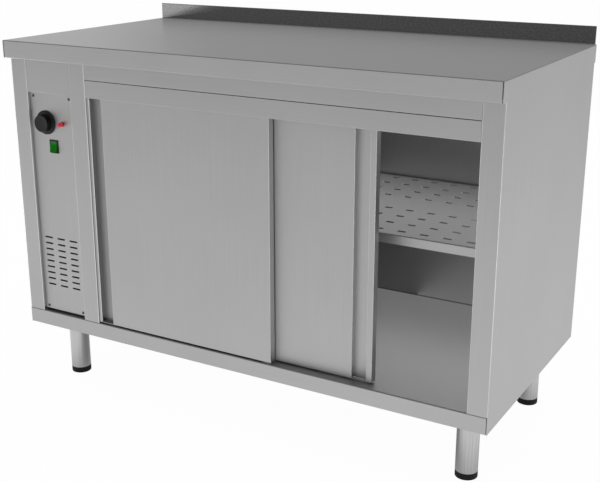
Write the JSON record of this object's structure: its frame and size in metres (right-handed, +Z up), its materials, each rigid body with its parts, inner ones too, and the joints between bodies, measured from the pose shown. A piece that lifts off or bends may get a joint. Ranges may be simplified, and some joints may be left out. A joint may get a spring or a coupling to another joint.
{
  "type": "hot food table",
  "caption": "Stainless steel heated table: flat worktop with a rear upstand over a hot cupboard with sliding doors and a slotted shelf, controls at its left end.",
  "frame": {"origin": "on the floor, below the middle of the worktop", "axes": "+X to the right seen from the doors, +Y to the back, +Z up"},
  "size_m": [1.2, 0.6, 0.89],
  "materials": {
    "satin_steel": "satin stainless sheet",
    "inner_steel": "mill-finish stainless sheet",
    "leg_steel": "polished stainless tube",
    "hanger_steel": "plain steel",
    "black_plastic": "fine satin",
    "white_nylon": "smooth",
    "stat_case": "moulded",
    "probe_copper": "drawn",
    "red_lens": "clear red",
    "green_key": "glossy",
    "heater_fins": "dull",
    "white_ceramic": "glazed ceramic",
    "motor_iron": "laminated",
    "coil_wrap": "taped winding",
    "fan_alloy": "pressed sheet"
  },
  "bodies": {
    "cabinet": {"worktop": "satin_steel", "worktop_stiffener_left": "inner_steel", "worktop_stiffener_middle": "inner_steel", "worktop_stiffener_right": "inner_steel", "left_side_panel": "satin_steel", "right_side_panel": "satin_steel", "back_panel": "satin_steel", "base_tray": "satin_steel", "left_leg_frame": "leg_steel", "right_leg_frame": "leg_steel", "middle_post": "satin_steel", "partition_wall": "satin_steel", "top_rail": "satin_steel", "door_header": "satin_steel", "front_door_track": "inner_steel", "rear_door_track": "inner_steel", "control_header": "satin_steel", "control_panel": "satin_steel", "panel_ledge": "inner_steel", "floor_guide": "white_nylon", "thermostat_body": "stat_case", "thermostat_bulb": "probe_copper", "pilot_lamp_body": "black_plastic", "pilot_lamp_lens": "red_lens", "rocker_switch_housing": "black_plastic", "air_baffle": "satin_steel", "heating_element": "heater_fins", "heater_bushes": "white_ceramic", "fan_motor_bracket": "inner_steel", "fan_motor_stack": "motor_iron", "fan_motor_coil": "coil_wrap", "terminal_block": "white_nylon", "cable_gland": "black_plastic", "shelf": "satin_steel", "shelf_stiffener": "inner_steel", "left_shelf_bearer": "satin_steel", "right_shelf_bearer": "satin_steel"},
    "left_door": {"left_door": "satin_steel", "left_door_hanger_left": "hanger_steel", "left_door_hanger_right": "hanger_steel"},
    "right_door": {"right_door": "satin_steel", "right_door_hanger_left": "hanger_steel", "right_door_hanger_right": "hanger_steel"},
    "left_door_roller_left": {"left_door_roller_left": "white_nylon"},
    "left_door_roller_right": {"left_door_roller_right": "white_nylon"},
    "right_door_roller_left": {"right_door_roller_left": "white_nylon"},
    "right_door_roller_right": {"right_door_roller_right": "white_nylon"},
    "thermostat_knob": {"thermostat_knob": "black_plastic"},
    "rocker_key": {"rocker_key": "green_key"},
    "fan": {"fan_impeller": "fan_alloy"},
    "foot_front_left": {"foot_front_left": "black_plastic"},
    "foot_front_right": {"foot_front_right": "black_plastic"},
    "foot_rear_left": {"foot_rear_left": "black_plastic"},
    "foot_rear_right": {"foot_rear_right": "black_plastic"}
  },
  "joints": [
    {"name": "left_door_slide", "type": "slide", "parent": "cabinet", "child": "left_door", "axis": [1, 0, 0], "range_m": [0, 0.4599]},
    {"name": "right_door_slide", "type": "slide", "parent": "cabinet", "child": "right_door", "axis": [1, 0, 0], "range_m": [-0.2346, 0.2253]},
    {"name": "left_door_roller_left_spin", "type": "hinge", "parent": "left_door", "child": "left_door_roller_left", "pos_m": [-0.32, -0.2688, 0.759], "axis": [0, 1, 0], "range_deg": [-10, 3043]},
    {"name": "left_door_roller_right_spin", "type": "hinge", "parent": "left_door", "child": "left_door_roller_right", "pos_m": [0.0349, -0.2688, 0.759], "axis": [0, 1, 0], "range_deg": [-10, 3043]},
    {"name": "right_door_roller_left_spin", "type": "hinge", "parent": "right_door", "child": "right_door_roller_left", "pos_m": [-0.0854, -0.2488, 0.759], "axis": [0, 1, 0], "range_deg": [-1560, 1498]},
    {"name": "right_door_roller_right_spin", "type": "hinge", "parent": "right_door", "child": "right_door_roller_right", "pos_m": [0.2695, -0.2488, 0.759], "axis": [0, 1, 0], "range_deg": [-1560, 1498]},
    {"name": "thermostat_turn", "type": "hinge", "parent": "cabinet", "child": "thermostat_knob", "pos_m": [-0.51015, -0.272, 0.6631], "axis": [0, 1, 0], "range_deg": [0, 270]},
    {"name": "rocker_tilt", "type": "hinge", "parent": "cabinet", "child": "rocker_key", "pos_m": [-0.49015, -0.272, 0.608], "axis": [1, 0, 0], "range_deg": [0, 18]},
    {"name": "fan_spin", "type": "hinge", "parent": "cabinet", "child": "fan", "pos_m": [-0.39, 0.04, 0.655], "axis": [1, 0, 0], "continuous": true},
    {"name": "foot_front_left_screw", "type": "slide", "parent": "cabinet", "child": "foot_front_left", "axis": [0, 0, -1], "range_m": [0, 0.025]},
    {"name": "foot_front_right_screw", "type": "slide", "parent": "cabinet", "child": "foot_front_right", "axis": [0, 0, -1], "range_m": [0, 0.025]},
    {"name": "foot_rear_left_screw", "type": "slide", "parent": "cabinet", "child": "foot_rear_left", "axis": [0, 0, -1], "range_m": [0, 0.025]},
    {"name": "foot_rear_right_screw", "type": "slide", "parent": "cabinet", "child": "foot_rear_right", "axis": [0, 0, -1], "range_m": [0, 0.025]}
  ],
  "couplings": [
    {"joint": "left_door_roller_left_spin", "follows": "left_door_slide", "rad_per_m": 114.94},
    {"joint": "left_door_roller_right_spin", "follows": "left_door_slide", "rad_per_m": 114.94},
    {"joint": "right_door_roller_left_spin", "follows": "right_door_slide", "rad_per_m": 114.94},
    {"joint": "right_door_roller_right_spin", "follows": "right_door_slide", "rad_per_m": 114.94}
  ]
}
